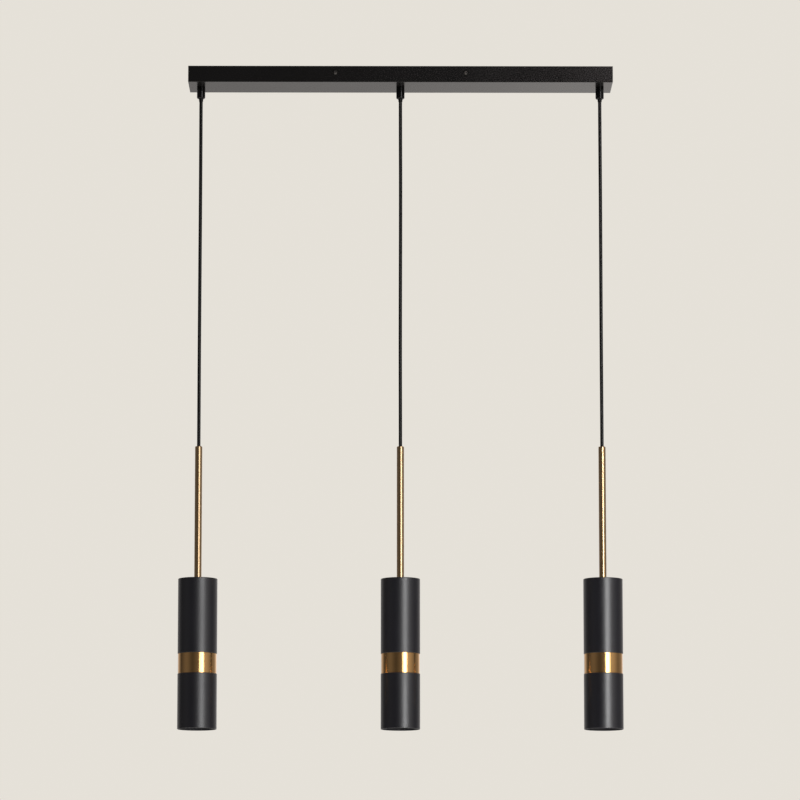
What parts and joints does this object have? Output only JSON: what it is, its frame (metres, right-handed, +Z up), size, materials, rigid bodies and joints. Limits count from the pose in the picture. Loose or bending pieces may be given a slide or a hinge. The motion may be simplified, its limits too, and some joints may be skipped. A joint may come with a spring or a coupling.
{
  "type": "linear island pendant",
  "caption": "Island pendant: a slim black ceiling bar from which black tube shades with a brass band hang on thin cords and brass rods.",
  "frame": {"origin": "middle of the ceiling bracket's upper face, on the ceiling plane", "axes": "+Z up to the ceiling, +X along the canopy, -Y towards the side seen in the picture"},
  "size_m": [0.724, 0.0842, 1.091],
  "materials": {
    "black_canopy": "satin powder coat",
    "black_shade": "fine satin powder coat",
    "black_screw": "blackened steel",
    "zinc_steel": "zinc plated",
    "zinc_screw": "zinc plated",
    "satin_brass": "finely brushed along the rod",
    "polished_brass": "finely turned and lacquered",
    "black_plastic": "moulded polyamide",
    "soft_boot": "soft, satin",
    "black_cord": "smooth PVC sheath",
    "brown_core": "PVC insulation",
    "blue_core": "PVC insulation",
    "green_core": "PVC insulation, green and yellow",
    "terminal_plastic": "polyamide",
    "white_ceramic": "glazed steatite ceramic",
    "clear_sleeving": "heat-proof sleeving",
    "lamp_housing": "moulded lamp housing",
    "lamp_lens": "frosted lens"
  },
  "bodies": {
    "ceiling_fixture": {"canopy_cover": "black_canopy", "ceiling_bracket": "zinc_steel", "cover_screws": "black_screw", "terminal_block": "terminal_plastic", "terminal_screws": "zinc_screw", "earth_terminal": "zinc_screw", "grip_nuts": "black_plastic", "grip_screws": "black_plastic", "cord_tails": "black_cord", "leads_brown": "brown_core", "leads_blue": "blue_core", "leads_earth": "green_core", "cord_grip_left": "black_plastic", "cord_grip_middle": "black_plastic", "cord_grip_right": "black_plastic"},
    "boot_left": {"grip_boot_left": "soft_boot"},
    "hanging_cord_left": {"cord_left": "black_cord", "cord_stop_left": "zinc_screw"},
    "shade_left": {"rod_bushing_left": "black_plastic", "rod_left": "satin_brass", "rod_nut_left": "zinc_screw", "shade_upper_left": "black_shade", "brass_band_left": "polished_brass", "shade_lower_left": "black_shade", "holder_plate_left": "zinc_steel", "holder_screws_left": "zinc_screw", "lampholder_left": "white_ceramic", "holder_leads_left": "clear_sleeving"},
    "lamp_left": {"lamp_body_left": "lamp_housing", "lamp_lens_left": "lamp_lens"},
    "boot_middle": {"grip_boot_middle": "soft_boot"},
    "hanging_cord_middle": {"cord_middle": "black_cord", "cord_stop_middle": "zinc_screw"},
    "shade_middle": {"rod_bushing_middle": "black_plastic", "rod_middle": "satin_brass", "rod_nut_middle": "zinc_screw", "shade_upper_middle": "black_shade", "brass_band_middle": "polished_brass", "shade_lower_middle": "black_shade", "holder_plate_middle": "zinc_steel", "holder_screws_middle": "zinc_screw", "lampholder_middle": "white_ceramic", "holder_leads_middle": "clear_sleeving"},
    "lamp_middle": {"lamp_body_middle": "lamp_housing", "lamp_lens_middle": "lamp_lens"},
    "boot_right": {"grip_boot_right": "soft_boot"},
    "hanging_cord_right": {"cord_right": "black_cord", "cord_stop_right": "zinc_screw"},
    "shade_right": {"rod_bushing_right": "black_plastic", "rod_right": "satin_brass", "rod_nut_right": "zinc_screw", "shade_upper_right": "black_shade", "brass_band_right": "polished_brass", "shade_lower_right": "black_shade", "holder_plate_right": "zinc_steel", "holder_screws_right": "zinc_screw", "lampholder_right": "white_ceramic", "holder_leads_right": "clear_sleeving"},
    "lamp_right": {"lamp_body_right": "lamp_housing", "lamp_lens_right": "lamp_lens"}
  },
  "joints": [
    {"name": "swing_left", "type": "hinge", "parent": "ceiling_fixture", "child": "boot_left", "pos_m": [-0.33, 0, -0.0468], "axis": [1, 0, 0], "range_deg": [-30, 30]},
    {"name": "sway_left", "type": "hinge", "parent": "boot_left", "child": "hanging_cord_left", "pos_m": [-0.33, 0, -0.049], "axis": [0, 1, 0], "range_deg": [-6, 6]},
    {"name": "turn_left", "type": "hinge", "parent": "hanging_cord_left", "child": "shade_left", "pos_m": [-0.33, 0, -0.634], "axis": [0, 0, 1], "range_deg": [-90, 90]},
    {"name": "lamp_turn_left", "type": "hinge", "parent": "shade_left", "child": "lamp_left", "pos_m": [-0.33, 0, -1.008], "axis": [0, 0, 1], "range_deg": [0, 20]},
    {"name": "swing_middle", "type": "hinge", "parent": "ceiling_fixture", "child": "boot_middle", "pos_m": [0, 0, -0.0468], "axis": [1, 0, 0], "range_deg": [-30, 30]},
    {"name": "sway_middle", "type": "hinge", "parent": "boot_middle", "child": "hanging_cord_middle", "pos_m": [0, 0, -0.049], "axis": [0, 1, 0], "range_deg": [-6, 6]},
    {"name": "turn_middle", "type": "hinge", "parent": "hanging_cord_middle", "child": "shade_middle", "pos_m": [0, 0, -0.634], "axis": [0, 0, 1], "range_deg": [-90, 90]},
    {"name": "lamp_turn_middle", "type": "hinge", "parent": "shade_middle", "child": "lamp_middle", "pos_m": [0, 0, -1.008], "axis": [0, 0, 1], "range_deg": [0, 20]},
    {"name": "swing_right", "type": "hinge", "parent": "ceiling_fixture", "child": "boot_right", "pos_m": [0.33, 0, -0.0468], "axis": [1, 0, 0], "range_deg": [-30, 30]},
    {"name": "sway_right", "type": "hinge", "parent": "boot_right", "child": "hanging_cord_right", "pos_m": [0.33, 0, -0.049], "axis": [0, 1, 0], "range_deg": [-6, 6]},
    {"name": "turn_right", "type": "hinge", "parent": "hanging_cord_right", "child": "shade_right", "pos_m": [0.33, 0, -0.634], "axis": [0, 0, 1], "range_deg": [-90, 90]},
    {"name": "lamp_turn_right", "type": "hinge", "parent": "shade_right", "child": "lamp_right", "pos_m": [0.33, 0, -1.008], "axis": [0, 0, 1], "range_deg": [0, 20]}
  ]
}
